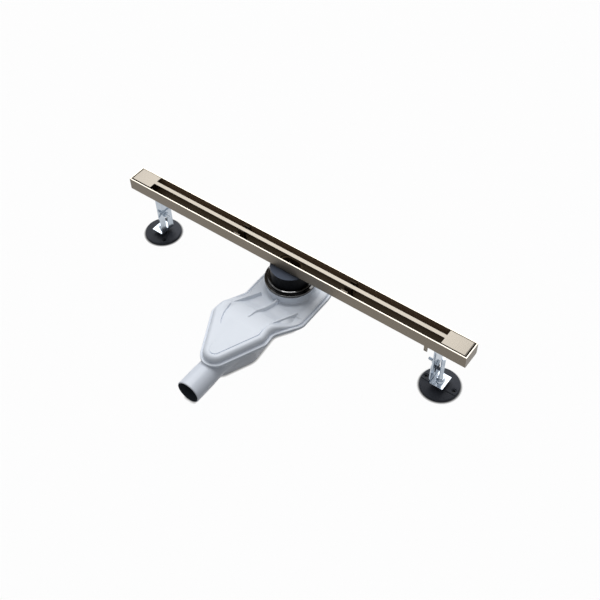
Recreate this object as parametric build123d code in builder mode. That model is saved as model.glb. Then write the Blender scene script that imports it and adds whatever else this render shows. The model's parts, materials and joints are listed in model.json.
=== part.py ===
from build123d import *
import os
from math import cos, radians, sin

# Linear shower drain: a narrow sheet channel with a slotted cover, a turnable siphon below it
# and two levelling feet.
# Frame: X along the channel, -Y towards the outlet, Z up, origin on the floor under the waste.

# Channel
channel_length = 800.0
channel_width = 42.0
channel_depth = 29.0
channel_top = 147.0
channel_sheet = 2.0
channel_fold = 1.0

# Earthing lug on the near wall
lug_width = 7.0
lug_drop = 11.0
lug_overlap = 5.0
lug_hole_radius = 1.7
lug_from_foot = 29.5

# Cover
cover_sheet = 2.0
cover_side_gap = 2.0
cover_end_gap = 2.4
cover_end_gap_left = 0.3
cover_sink = 0.5
cover_fold = 1.0
end_plate_length = 50.0
strip_width = 8.0

# Cover supports
support_length = 15.0
support_sheet = 1.5
support_fold = 0.8
support_wall_gap = 0.4
support_lip_drop = 3.5
support_lip_fold = 3.0
support_x = {"left": -119.0, "right": 137.0}

# Waste opening and the pieces stacked in it
waste_end_margin = 15.0
waste_width = 32.0
waste_seat = 2.0
gasket_thickness = 2.0
gasket_width = 40.0
gasket_end_margin = 1.0
waste_screw_radius = 2.0
waste_screw_margin = 7.0
waste_screw_length = 16.0
waste_screw_head_radius = 4.0
waste_screw_head_height = 2.6
waste_screw_head_chamfer = 1.0
waste_screw_clearance = 0.3
boss_radius = 4.5
boss_extra_depth = 2.0

# Spigot
spigot_radius = 40.0
spigot_wall = 3.0
spigot_bottom = 60.0
spigot_disc = 3.0

# Dip tube
dip_clearance = 1.0
dip_wall = 2.0
dip_flange = 2.5
dip_flange_clearance = 0.5
dip_bottom = 16.0

# Lip seal
seal_running_gap = 0.25
seal_thickness = 5.55
seal_overhang = 1.8
seal_upper_overhang = -2.8
seal_lip_height = 3.6
seal_groove_height = 1.6
seal_groove_depth = 2.2
seal_upper_lip_height = 3.0
seal_lip_chamfer = 0.8
seal_corner_digits = 3
seal_skirt_length = 15.0
seal_skirt_clearance = 0.2

# Trap collar
collar_wall = 3.0
collar_top = 79.0

# Trap shells, with the seam plane between them
seam_height = 51.0
rim_thickness = 3.0
rim_edge = 1.0
shell_wall = 3.0
hump_rise = 17.0
hump_inset = 6.0
hump_draft = 14.0
hump_round = 12.0
saddle_start_y = -112.0
saddle_end_y = -60.0
rear_rise = 6.5
rear_round = 3.0
panel_inset = 21.0
panel_recess = 0.9
panel_start_y = -172.0
panel_end_y = -52.0
panel_end_rise = 5.5
rib_width = 7.0
rib_round = 2.6
rib_rise = 12.5
bowl_draft = 6.0
bowl_round = 7.0
tray_inset = 4.0
tray_bottom = 38.0
tray_round = 4.0
weir_y = -122.0
weir_height = 46.0

# Ribs: the end near the collar, the skew from the outlet's direction and the length of each
ribs_on_panel = (
    ((-33.0, -59.0), 30.0, 62.0),
    ((9.0, -53.0), 23.0, 66.0),
    ((58.0, -59.0), 29.0, 58.0),
)

# Rim outline: corner points with the radius that rounds each
rim_corners = (
    ((80.0, 72.0), 60.0),
    ((80.0, -70.0), 28.0),
    ((47.0, -120.0), 20.0),
    ((50.0, -146.0), 25.0),
    ((-13.0, -286.0), 30.0),
    ((-90.0, -140.0), 25.0),
    ((-88.0, -112.0), 25.0),
    ((-64.0, -66.0), 15.0),
    ((-66.0, 72.0), 60.0),
)

# Bowl outline at the seam: the dip tube's cup behind, the chamber to the outlet in front
bowl_corners = (
    ((53.0, 53.0), 46.0),
    ((53.0, -58.0), 26.0),
    ((30.0, -94.0), 20.0),
    ((36.0, -163.0), 45.0),
    ((-13.0, -272.0), 26.0),
    ((-62.0, -165.0), 26.0),
    ((-62.0, -92.0), 20.0),
    ((-53.0, -66.0), 20.0),
    ((-53.0, 53.0), 46.0),
)

# Outlet
outlet_radius = 25.0
outlet_wall = 2.0
outlet_x = -15.0
outlet_height = 25.6
outlet_end_y = -303.0
outlet_root_y = -190.0
outlet_free_length = 50.0
outlet_step = 0.6
outlet_chamfer = 1.2

# Feet
foot_from_end = 51.0
pad_radius = 39.0
pad_thickness = 6.0
pad_edge = 1.2
pad_band_width = 17.0
pad_band_height = 1.2
pad_boss_radius = 9.0
pad_boss_height = 2.0
pad_hole_circle = 60.7
pad_hole_radius = 3.2
pad_recess_radius = 5.2
pad_recess_depth = 1.6
pad_turn = {"left": -45.0, "right": 0.0}
stud_radius = 4.0
stud_bottom = 2.0
stud_top = 84.0
stud_chamfer = 0.8
nut_across_flats = 13.0
nut_height = 6.5
nut_thread_clearance = 0.15
nut_flange_radius = 8.5
nut_flange_height = 1.6
jam_nut_height = 5.0

# Bracket and hanger
bracket_sheet = 2.5
bracket_fold = 1.5
bracket_width = 35.0
bracket_reach = 30.0
bracket_flange_top = 17.0
bracket_stud_offset = 16.0
bracket_stud_clearance = 0.5
bracket_corner = 6.0
slot_width = 6.6
slot_bottom = 24.0
slot_over_clamp = 4.0
slot_edge_margin = 4.0
hanger_below_clamp = 9.0
hanger_reach = 30.0
hanger_corner = 4.0
plate_gap = 0.1

# Clamp bolt
clamp_height = 64.0
clamp_radius = 3.0
clamp_head_flats = 10.0
clamp_head_height = 4.0
clamp_nut_height = 5.0
clamp_tail = 9.0
clamp_chamfer = 0.6
clamp_hole_clearance = 0.3

# Levels and places that follow from the sizes above
channel_bottom = channel_top - channel_depth
floor_top = channel_bottom + channel_sheet
inner_width = channel_width - 2 * channel_sheet
cover_top = channel_top - cover_sink
cover_under = cover_top - cover_sheet
cover_width = inner_width - 2 * cover_side_gap
cover_left = -channel_length / 2 + channel_sheet + cover_end_gap_left
cover_right = channel_length / 2 - channel_sheet - cover_end_gap
cover_middle = (cover_left + cover_right) / 2
cover_length = cover_right - cover_left
spigot_top = channel_bottom - gasket_thickness
seal_bore = spigot_radius + seal_running_gap
seal_skirt_radius = seal_bore + seal_thickness
collar_bore = seal_skirt_radius + seal_skirt_clearance
collar_radius = collar_bore + collar_wall
waste_length = 2 * (spigot_radius - waste_end_margin)
waste_screw_x = spigot_radius - waste_screw_margin
foot_x = channel_length / 2 - foot_from_end
lug_x = foot_x - lug_from_foot
hole_length = waste_length + 2 * waste_seat
hole_width = waste_width + 2 * waste_seat
plate_inner_x = foot_x - bracket_stud_offset
hanger_inner_x = plate_inner_x + bracket_sheet + plate_gap
hanger_outer_x = hanger_inner_x + bracket_sheet
screw_places = ((-waste_screw_x, 0), (waste_screw_x, 0))
slot_top = clamp_height + slot_over_clamp
bracket_plate_top = slot_top + slot_edge_margin
hanger_bottom = clamp_height - hanger_below_clamp
hump_height = seam_height + hump_rise
rear_height = seam_height + rear_rise
panel_end_height = seam_height + panel_end_rise
cutter_reach = 400.0


def keep(part, label):
    """Name a finished piece and write it."""
    part.label = label
    export_step(part, f"parts/{label}.step")


def keep_pair(part, label):
    """Keep a piece of the right foot and its mirror image for the left."""
    keep(part, f"{label}_right")
    keep(part.mirror(Plane.YZ), f"{label}_left")


def outline_sketch(corners, inset):
    """Face of a rounded outline, drawn in by an inset."""
    with BuildSketch() as face:
        with BuildLine():
            FilletPolyline(
                *[corner for corner, radius in corners],
                radius=[radius for corner, radius in corners],
                close=True,
            )
        make_face()
        if inset:
            offset(amount=-inset)
    return face.sketch


def folded_sheet(path, bend, sheet, plane, width):
    """Sheet folded along a path of straight runs, with the path on its right-hand face."""
    with BuildPart() as strip:
        with BuildSketch(plane):
            with BuildLine():
                FilletPolyline(*path, radius=bend)
                offset(amount=sheet, side=Side.LEFT)
            make_face()
        extrude(amount=width / 2, both=True)
    return strip.part


def space_above_ramp(start_y, start_height, end_y, end_height):
    """Space over a ramp along Y that runs on level behind its lower end."""
    with BuildPart() as space:
        with BuildSketch(Plane.YZ):
            with BuildLine():
                Polyline(
                    (-cutter_reach, cutter_reach),
                    (-cutter_reach, start_height),
                    (start_y, start_height),
                    (end_y, end_height),
                    (cutter_reach, end_height),
                    (cutter_reach, cutter_reach),
                    close=True,
                )
            make_face()
        extrude(amount=cutter_reach, both=True)
    return space.part


def drafted_block(corners, inset, end_height, draft, rounding):
    """Block from the seam to a height, drafted inwards, with its far edge rounded."""
    with BuildPart() as block:
        with BuildSketch(Plane.XY.offset(seam_height)):
            add(outline_sketch(corners, inset))
        extrude(amount=end_height - seam_height, taper=draft)
        far_face = block.faces().sort_by(Axis.Z)[-1 if end_height > seam_height else 0]
        fillet(far_face.edges(), radius=rounding)
    return block.part


os.makedirs("parts", exist_ok=True)

# Channel: folded sheet with closed ends, the waste opening and the earthing lug
with BuildPart() as channel:
    with BuildSketch(Plane.YZ) as section:
        with Locations((0, channel_bottom + channel_depth / 2)):
            Rectangle(channel_width, channel_depth)
        fillet(section.vertices().group_by(Axis.Y)[0], channel_fold + channel_sheet)
    extrude(amount=channel_length / 2, both=True)
    with BuildSketch(Plane.YZ) as trough:
        with Locations((0, floor_top + channel_depth / 2)):
            Rectangle(inner_width, channel_depth)
        fillet(trough.vertices().group_by(Axis.Y)[0], channel_fold)
    extrude(amount=channel_length / 2 - channel_sheet, both=True, mode=Mode.SUBTRACT)
    with BuildSketch(Plane.XY.offset(channel_bottom)):
        SlotOverall(hole_length, hole_width)
        with Locations(*screw_places):
            Circle(waste_screw_radius + waste_screw_clearance)
    extrude(amount=channel_sheet, mode=Mode.SUBTRACT)
    with BuildSketch(Plane.XZ.offset(channel_width / 2)):
        with Locations((lug_x, channel_bottom + (lug_overlap - lug_drop) / 2)):
            Rectangle(lug_width, lug_overlap + lug_drop)
        with Locations((lug_x, channel_bottom - lug_drop + lug_width / 2)):
            Circle(lug_hole_radius, mode=Mode.SUBTRACT)
    extrude(amount=-channel_sheet)
keep(channel.part, "channel")

# Cover: one sheet, two end plates joined by a narrow strip, with both ends folded down as legs
cover_path = (
    (cover_left + cover_sheet, floor_top),
    (cover_left + cover_sheet, cover_under),
    (cover_right - cover_sheet, cover_under),
    (cover_right - cover_sheet, floor_top),
)
cover_blank = folded_sheet(cover_path, cover_fold, cover_sheet, Plane.XZ, cover_width)
with BuildPart() as cover:
    add(cover_blank)
    with BuildSketch(Plane.XY.offset(cover_under)):
        with Locations((cover_middle, 0)):
            Rectangle(cover_length - 2 * end_plate_length, cover_width)
            Rectangle(cover_length - 2 * end_plate_length, strip_width, mode=Mode.SUBTRACT)
    extrude(amount=cover_sheet, mode=Mode.SUBTRACT)
keep(cover.part, "cover")

# Cover supports: folded strips that stand on the channel floor and carry the cover's strip
support_half = inner_width / 2 - support_wall_gap
support_lip = cover_under - support_lip_drop
support_base = floor_top + support_sheet
support_hat = strip_width / 2
support_lip_end = support_half - support_sheet - support_lip_fold
support_path = (
    (support_lip_end, support_lip),
    (support_half - support_sheet, support_lip),
    (support_half - support_sheet, support_base),
    (support_hat, support_base),
    (support_hat, cover_under),
    (-support_hat, cover_under),
    (-support_hat, support_base),
    (-support_half + support_sheet, support_base),
    (-support_half + support_sheet, support_lip),
    (-support_lip_end, support_lip),
)
for side, place in support_x.items():
    support_plane = Plane.YZ.offset(place)
    cover_support = folded_sheet(support_path, support_fold, support_sheet, support_plane, support_length)
    keep(cover_support, f"cover_support_{side}")

# Gasket between the channel floor and the spigot
with BuildPart() as spigot_gasket:
    with BuildSketch(Plane.XY.offset(spigot_top)):
        SlotOverall(2 * (spigot_radius - gasket_end_margin), gasket_width)
        SlotOverall(hole_length, hole_width, mode=Mode.SUBTRACT)
        with Locations(*screw_places):
            Circle(waste_screw_radius + waste_screw_clearance, mode=Mode.SUBTRACT)
    extrude(amount=gasket_thickness)
keep(spigot_gasket.part, "spigot_gasket")

# Spigot: capped tube below the channel that the siphon turns on
with BuildPart() as spigot:
    with BuildSketch(Plane.XY.offset(spigot_bottom)):
        Circle(spigot_radius)
        Circle(spigot_radius - spigot_wall, mode=Mode.SUBTRACT)
    extrude(amount=spigot_top - spigot_bottom)
    chamfer(spigot.edges().group_by(Axis.Z)[0].sort_by(SortBy.RADIUS)[-1], spigot_wall / 2)
    with BuildSketch(Plane.XY.offset(spigot_top)):
        Circle(spigot_radius)
    extrude(amount=-spigot_disc)
    with BuildSketch(Plane.XY.offset(spigot_top)):
        with Locations(*screw_places):
            Circle(boss_radius)
    extrude(amount=channel_sheet + gasket_thickness - waste_screw_length - boss_extra_depth)
    with BuildSketch(Plane.XY.offset(spigot_top)):
        SlotOverall(waste_length, waste_width)
    extrude(amount=-spigot_disc, mode=Mode.SUBTRACT)
    with BuildSketch(Plane.XY.offset(spigot_top)):
        with Locations(*screw_places):
            Circle(waste_screw_radius)
    extrude(amount=channel_sheet + gasket_thickness - waste_screw_length, mode=Mode.SUBTRACT)
keep(spigot.part, "spigot")

# Screws that hold the spigot up against the channel floor
with BuildPart() as spigot_screws:
    with Locations(*[(x, y, floor_top) for x, y in screw_places]):
        Cylinder(
            waste_screw_radius,
            waste_screw_length,
            align=(Align.CENTER, Align.CENTER, Align.MAX),
        )
        Cylinder(
            waste_screw_head_radius,
            waste_screw_head_height,
            align=(Align.CENTER, Align.CENTER, Align.MIN),
        )
    chamfer(spigot_screws.edges().group_by(Axis.Z)[-1], waste_screw_head_chamfer)
keep(spigot_screws.part, "spigot_screws")

# Dip tube: lifts out through the waste opening and dips into the siphon's water
dip_length = waste_length - 2 * dip_clearance
dip_width = waste_width - 2 * dip_clearance
with BuildPart() as dip_tube:
    with BuildSketch(Plane.XY.offset(dip_bottom)):
        SlotOverall(dip_length, dip_width)
    extrude(amount=spigot_top - dip_bottom)
    with BuildSketch(Plane.XY.offset(spigot_top)):
        SlotOverall(hole_length - 2 * dip_flange_clearance, hole_width - 2 * dip_flange_clearance)
    extrude(amount=dip_flange)
    with BuildSketch(Plane.XY.offset(dip_bottom)):
        SlotOverall(dip_length - 2 * dip_wall, dip_width - 2 * dip_wall)
    extrude(amount=spigot_top + dip_flange - dip_bottom, mode=Mode.SUBTRACT)
keep(dip_tube.part, "dip_tube")

# Lip seal: two lips over the collar's edge and a skirt between collar and spigot
seal_lip_radius = collar_radius + seal_overhang
seal_upper_lip_radius = collar_radius + seal_upper_overhang
seal_groove_radius = seal_upper_lip_radius - seal_groove_depth
lip_top = collar_top + seal_lip_height
groove_top = lip_top + seal_groove_height
seal_top = groove_top + seal_upper_lip_height
with BuildPart() as lip_seal:
    with BuildSketch(Plane.XZ) as seal_section:
        with BuildLine():
            Polyline(
                (seal_bore, collar_top - seal_skirt_length),
                (seal_skirt_radius, collar_top - seal_skirt_length),
                (seal_skirt_radius, collar_top),
                (seal_lip_radius, collar_top),
                (seal_lip_radius, lip_top),
                (seal_groove_radius, lip_top),
                (seal_groove_radius, groove_top),
                (seal_upper_lip_radius, groove_top),
                (seal_upper_lip_radius, seal_top),
                (seal_bore, seal_top),
                close=True,
            )
        make_face()
        lip_radii = [round(radius, seal_corner_digits) for radius in (seal_lip_radius, seal_upper_lip_radius)]
        lip_corners = seal_section.vertices().filter_by(
            lambda corner: round(corner.X, seal_corner_digits) in lip_radii
        )
        chamfer(lip_corners, seal_lip_chamfer)
    revolve(axis=Axis.Z)
keep(lip_seal.part, "lip_seal")

# Upper shell: rim, rounded hump, a panel that falls to the collar's foot, ribs and the collar
with BuildPart() as upper_rim:
    with BuildSketch(Plane.XY.offset(seam_height)):
        add(outline_sketch(rim_corners, 0.0))
    extrude(amount=rim_thickness)
    fillet(upper_rim.faces().sort_by(Axis.Z)[-1].edges(), radius=rim_edge)

front_hump = drafted_block(rim_corners, hump_inset, hump_height, hump_draft, hump_round)
rear_cap = drafted_block(rim_corners, hump_inset, rear_height, hump_draft, rear_round)
saddle = space_above_ramp(saddle_start_y, hump_height, saddle_end_y, seam_height)
panel_space = space_above_ramp(panel_start_y, hump_height - panel_recess, panel_end_y, panel_end_height)
with BuildPart() as panel_cut:
    with BuildSketch(Plane.XY.offset(seam_height)):
        add(outline_sketch(rim_corners, panel_inset))
    extrude(amount=hump_rise)
    add(panel_space, mode=Mode.INTERSECT)

with BuildPart() as ribs:
    for rib_end, rib_skew, rib_length in ribs_on_panel:
        rib_axis = Vector(-sin(radians(rib_skew)), -cos(radians(rib_skew)), 0)
        rib_centre = Vector(*rib_end, seam_height) + rib_axis * (rib_length / 2)
        with BuildSketch(Plane(origin=rib_centre, x_dir=rib_axis, z_dir=(0, 0, 1))):
            SlotOverall(rib_length, rib_width)
        extrude(amount=rib_rise)
    fillet(ribs.faces().filter_by(Axis.Z).group_by(Axis.Z)[-1].edges(), radius=rib_round)

cavity_top = hump_height - shell_wall
cavity_ramp = space_above_ramp(panel_start_y, cavity_top, panel_end_y, panel_end_height - shell_wall)
cavity_saddle = space_above_ramp(saddle_start_y, cavity_top, saddle_end_y, seam_height - shell_wall)
with BuildPart() as water_way:
    add(drafted_block(rim_corners, hump_inset + shell_wall, cavity_top, hump_draft, hump_round - shell_wall))
    add(cavity_ramp, mode=Mode.SUBTRACT)
    add(cavity_saddle, mode=Mode.SUBTRACT)

with BuildPart() as trap_upper_shell:
    add(front_hump)
    add(saddle, mode=Mode.SUBTRACT)
    add(rear_cap)
    add(panel_cut.part, mode=Mode.SUBTRACT)
    add(upper_rim.part)
    add(ribs.part)
    with BuildSketch(Plane.XY.offset(seam_height)):
        Circle(collar_radius)
    extrude(amount=collar_top - seam_height)
    add(water_way.part, mode=Mode.SUBTRACT)
    with BuildSketch(Plane.XY.offset(seam_height)):
        Circle(collar_bore)
    extrude(amount=collar_top - seam_height, mode=Mode.SUBTRACT)
keep(trap_upper_shell.part, "trap_upper_shell")

# Lower shell: rim, shallow tray, deep bowl with a weir across it, and the outlet pipe
outlet_plane = Plane(origin=(outlet_x, outlet_end_y, outlet_height), z_dir=(0, 1, 0))
outlet_length = outlet_root_y - outlet_end_y
with BuildPart() as lower_hollow:
    add(drafted_block(bowl_corners, shell_wall, shell_wall, bowl_draft, bowl_round - shell_wall))
    add(
        drafted_block(
            rim_corners,
            tray_inset + shell_wall,
            tray_bottom + shell_wall,
            bowl_draft,
            tray_round - shell_wall,
        )
    )

with BuildPart() as weir:
    add(lower_hollow.part)
    with BuildSketch(Plane.XZ.offset(-weir_y)):
        with Locations((0, weir_height / 2)):
            Rectangle(cutter_reach, weir_height)
    extrude(amount=shell_wall, mode=Mode.INTERSECT)

with BuildPart() as trap_lower_shell:
    add(drafted_block(bowl_corners, 0.0, 0.0, bowl_draft, bowl_round))
    add(drafted_block(rim_corners, tray_inset, tray_bottom, bowl_draft, tray_round))
    with BuildSketch(Plane.XY.offset(seam_height)):
        add(outline_sketch(rim_corners, 0.0))
    extrude(amount=-rim_thickness)
    with BuildSketch(outlet_plane):
        Circle(outlet_radius - outlet_step)
    extrude(amount=outlet_length)
    with BuildSketch(outlet_plane):
        Circle(outlet_radius)
    extrude(amount=outlet_free_length)
    add(lower_hollow.part, mode=Mode.SUBTRACT)
    with BuildSketch(outlet_plane):
        Circle(outlet_radius - outlet_wall)
    extrude(amount=outlet_length, mode=Mode.SUBTRACT)
    add(weir.part)
    outlet_edge = trap_lower_shell.edges().group_by(Axis.Y)[0].sort_by(SortBy.RADIUS)[-1]
    chamfer(outlet_edge, outlet_chamfer)
keep(trap_lower_shell.part, "trap_lower_shell")

# Bracket: an angle with the stud's flange below and a slotted plate that slides on the hanger
bracket_path = (
    (plate_inner_x + bracket_reach, bracket_flange_top),
    (plate_inner_x + bracket_sheet, bracket_flange_top),
    (plate_inner_x + bracket_sheet, bracket_plate_top),
)
bracket_blank = folded_sheet(bracket_path, bracket_fold, bracket_sheet, Plane.XZ, bracket_width)
with BuildPart() as foot_bracket:
    add(bracket_blank)
    with BuildSketch(Plane.XY.offset(bracket_flange_top)):
        with Locations((foot_x, 0)):
            Circle(stud_radius + bracket_stud_clearance)
    extrude(amount=-bracket_sheet, mode=Mode.SUBTRACT)
    with BuildSketch(Plane.YZ.offset(plate_inner_x)):
        with Locations((0, (slot_bottom + slot_top) / 2)):
            SlotOverall(slot_top - slot_bottom, slot_width, rotation=90)
    extrude(amount=bracket_sheet, mode=Mode.SUBTRACT)
    upper_corners = foot_bracket.edges().filter_by(Axis.X).group_by(Axis.Z)[-1]
    chamfer(upper_corners, bracket_corner)
keep_pair(foot_bracket.part, "foot_bracket")

# Hanger: an angle fixed under the channel that the bracket's plate is clamped to
hanger_path = (
    (hanger_outer_x - hanger_reach, channel_bottom - bracket_sheet),
    (hanger_inner_x, channel_bottom - bracket_sheet),
    (hanger_inner_x, hanger_bottom),
)
hanger_blank = folded_sheet(hanger_path, bracket_fold, bracket_sheet, Plane.XZ, bracket_width)
with BuildPart() as hanger:
    add(hanger_blank)
    with BuildSketch(Plane.YZ.offset(hanger_inner_x)):
        with Locations((0, clamp_height)):
            Circle(clamp_radius + clamp_hole_clearance)
    extrude(amount=bracket_sheet, mode=Mode.SUBTRACT)
    lower_corners = hanger.edges().filter_by(Axis.X).group_by(Axis.Z)[0]
    chamfer(lower_corners, hanger_corner)
keep_pair(hanger.part, "hanger")

# Clamp bolt and nut that hold bracket and hanger together
clamp_nut_x = plate_inner_x - plate_gap - clamp_nut_height
with BuildPart() as clamp_bolt:
    with BuildSketch(Plane.YZ.offset(hanger_outer_x)):
        with Locations((0, clamp_height)):
            Circle(clamp_radius)
    extrude(amount=clamp_nut_x - clamp_tail - hanger_outer_x)
    chamfer(clamp_bolt.edges().sort_by(Axis.X)[0], clamp_chamfer)
    with BuildSketch(Plane.YZ.offset(hanger_outer_x)):
        with Locations((0, clamp_height)):
            RegularPolygon(clamp_head_flats / 2, 6, major_radius=False)
    extrude(amount=clamp_head_height)
keep_pair(clamp_bolt.part, "clamp_bolt")

with BuildPart() as clamp_nut:
    with BuildSketch(Plane.YZ.offset(clamp_nut_x)):
        with Locations((0, clamp_height)):
            RegularPolygon(clamp_head_flats / 2, 6, major_radius=False)
            Circle(clamp_radius, mode=Mode.SUBTRACT)
    extrude(amount=clamp_nut_height)
keep_pair(clamp_nut.part, "clamp_nut")

# Nuts above and below the bracket's flange
stud_bore = stud_radius + nut_thread_clearance
with BuildPart() as flange_nut:
    with BuildSketch(Plane.XY.offset(bracket_flange_top)):
        with Locations((foot_x, 0)):
            Circle(nut_flange_radius)
            Circle(stud_bore, mode=Mode.SUBTRACT)
    extrude(amount=nut_flange_height)
    with BuildSketch(Plane.XY.offset(bracket_flange_top + nut_flange_height)):
        with Locations((foot_x, 0)):
            RegularPolygon(nut_across_flats / 2, 6, major_radius=False)
            Circle(stud_bore, mode=Mode.SUBTRACT)
    extrude(amount=nut_height)
keep_pair(flange_nut.part, "flange_nut")

with BuildPart() as jam_nut:
    with BuildSketch(Plane.XY.offset(bracket_flange_top - bracket_sheet)):
        with Locations((foot_x, 0)):
            RegularPolygon(nut_across_flats / 2, 6, major_radius=False)
            Circle(stud_bore, mode=Mode.SUBTRACT)
    extrude(amount=-jam_nut_height)
keep_pair(jam_nut.part, "jam_nut")

# Stud moulded into its pad
with BuildPart() as foot_stud:
    with BuildSketch(Plane.XY.offset(stud_bottom)):
        with Locations((foot_x, 0)):
            Circle(stud_radius)
    extrude(amount=stud_top - stud_bottom)
    chamfer(foot_stud.edges().sort_by(Axis.Z)[-1], stud_chamfer)
keep_pair(foot_stud.part, "foot_stud")

# Pads: round discs with a raised band and two screw holes, each turned its own way
pad_places = {"left": -foot_x, "right": foot_x}
for side, place in pad_places.items():
    ground = Plane((place, 0, 0)).rotated((0, 0, pad_turn[side]))
    with BuildPart() as foot_pad:
        with BuildSketch(ground):
            Circle(pad_radius)
        extrude(amount=pad_thickness)
        chamfer(foot_pad.edges().group_by(Axis.Z)[-1], pad_edge)
        with BuildSketch(ground.offset(pad_thickness)):
            Rectangle(2 * pad_radius, pad_band_width)
            Circle(pad_radius - pad_edge, mode=Mode.INTERSECT)
        extrude(amount=pad_band_height)
        with BuildSketch(ground.offset(pad_thickness)):
            Circle(pad_boss_radius)
        extrude(amount=pad_boss_height)
        with BuildSketch(ground.offset(stud_bottom)):
            Circle(stud_radius)
        extrude(amount=pad_thickness + pad_boss_height - stud_bottom, mode=Mode.SUBTRACT)
        with Locations(ground.offset(pad_thickness + pad_band_height)):
            with PolarLocations(pad_hole_circle / 2, 2):
                CounterBoreHole(pad_hole_radius, pad_recess_radius, pad_recess_depth)
    keep(foot_pad.part, f"foot_pad_{side}")
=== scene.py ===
"""Looks of a linear shower drain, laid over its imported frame.

Objects are in metres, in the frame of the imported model: X along the channel, -Y towards the outlet,
Z up. Sizes held by the classes are millimetres.
"""

import json
import logging
import math
from dataclasses import dataclass
from enum import Enum
from typing import Any

import bmesh
import bpy
import numpy as np
from mathutils import Matrix, Vector

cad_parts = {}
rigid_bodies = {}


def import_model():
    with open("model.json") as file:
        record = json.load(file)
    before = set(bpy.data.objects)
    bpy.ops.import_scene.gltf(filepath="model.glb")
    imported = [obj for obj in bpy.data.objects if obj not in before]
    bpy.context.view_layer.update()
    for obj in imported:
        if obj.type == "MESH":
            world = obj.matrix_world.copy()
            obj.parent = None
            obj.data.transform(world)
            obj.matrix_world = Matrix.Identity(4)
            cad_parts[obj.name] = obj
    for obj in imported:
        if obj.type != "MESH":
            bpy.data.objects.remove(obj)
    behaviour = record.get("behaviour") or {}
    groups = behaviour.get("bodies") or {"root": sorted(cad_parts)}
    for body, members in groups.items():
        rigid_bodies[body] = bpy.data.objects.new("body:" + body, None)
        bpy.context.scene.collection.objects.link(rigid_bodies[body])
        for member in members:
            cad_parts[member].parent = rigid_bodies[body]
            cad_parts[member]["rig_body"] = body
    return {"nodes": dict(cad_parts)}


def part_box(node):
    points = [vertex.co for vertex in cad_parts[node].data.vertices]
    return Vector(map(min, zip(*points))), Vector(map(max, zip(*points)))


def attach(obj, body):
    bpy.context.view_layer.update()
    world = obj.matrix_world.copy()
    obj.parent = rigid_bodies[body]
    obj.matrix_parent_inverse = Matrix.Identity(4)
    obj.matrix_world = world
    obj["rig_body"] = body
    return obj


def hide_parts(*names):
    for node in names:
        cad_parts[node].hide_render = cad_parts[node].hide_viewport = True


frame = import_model()

MM = 0.001
LOG = logging.getLogger("drain")

Array = np.ndarray
Corners = tuple[tuple[tuple[float, float], float], ...]


class Slot(Enum):
    """Material slots of the record."""

    STEEL = "brushed_nickel_steel"
    ZINC = "zinc_plate"
    GREY = "grey_plastic"
    BLACK = "black_plastic"
    RUBBER = "black_rubber"


class Side(Enum):
    """The two feet, with the sign of their place along X."""

    LEFT = -1
    RIGHT = 1

    @property
    def word(self) -> str:
        """The side as node names spell it."""
        return self.name.lower()


def linear(colour: str) -> tuple[float, float, float, float]:
    """Turn an sRGB hex colour into linear red, green, blue and alpha.

    Args:
        colour: Six hex digits after a hash sign.

    Returns:
        The linear colour, opaque.
    """
    shares = np.array([int(colour[i:i + 2], 16) for i in (1, 3, 5)]) / 255
    light = np.where(shares <= 0.04045, shares / 12.92, ((shares + 0.055) / 1.055) ** 2.4)
    return (*light.tolist(), 1.0)


def per_size(size: float) -> float:
    """Pattern scale, in cycles per metre, of a feature of a size in millimetres."""
    return 1 / (size * MM)


def add_node(tree: bpy.types.NodeTree, kind: str, inputs: dict | None = None, **settings: Any) -> bpy.types.Node:
    """Add one node with its settings, socket values and links.

    Args:
        tree: Node tree that gets the node.
        kind: Blender's type name of the node.
        inputs: Socket name or number with a value, or with an output socket to link from.
        settings: Properties of the node.

    Returns:
        The new node.
    """
    node = tree.nodes.new(kind)
    for name, value in settings.items():
        setattr(node, name, value)
    for socket, value in (inputs or {}).items():
        if isinstance(value, bpy.types.NodeSocket):
            tree.links.new(value, node.inputs[socket])
        else:
            node.inputs[socket].default_value = value
    return node


@dataclass(frozen=True)
class Finish:
    """A surface as it was made, turned into one material."""

    title: str
    slot: Slot

    def material(self) -> bpy.types.Material:
        """Give this finish's material, made on first use."""
        made = bpy.data.materials.get(self.title)
        if made is None:
            made = bpy.data.materials.new(self.title)
            made.use_nodes = True
            self.lay(made.node_tree, made.node_tree.nodes["Principled BSDF"].inputs)
        return made

    def lay(self, tree: bpy.types.NodeTree, shader: bpy.types.NodeInputs) -> None:
        """Lay the nodes of this finish.

        Args:
            tree: Node tree of the material.
            shader: Sockets of the material's shader.
        """
        raise NotImplementedError


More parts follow.
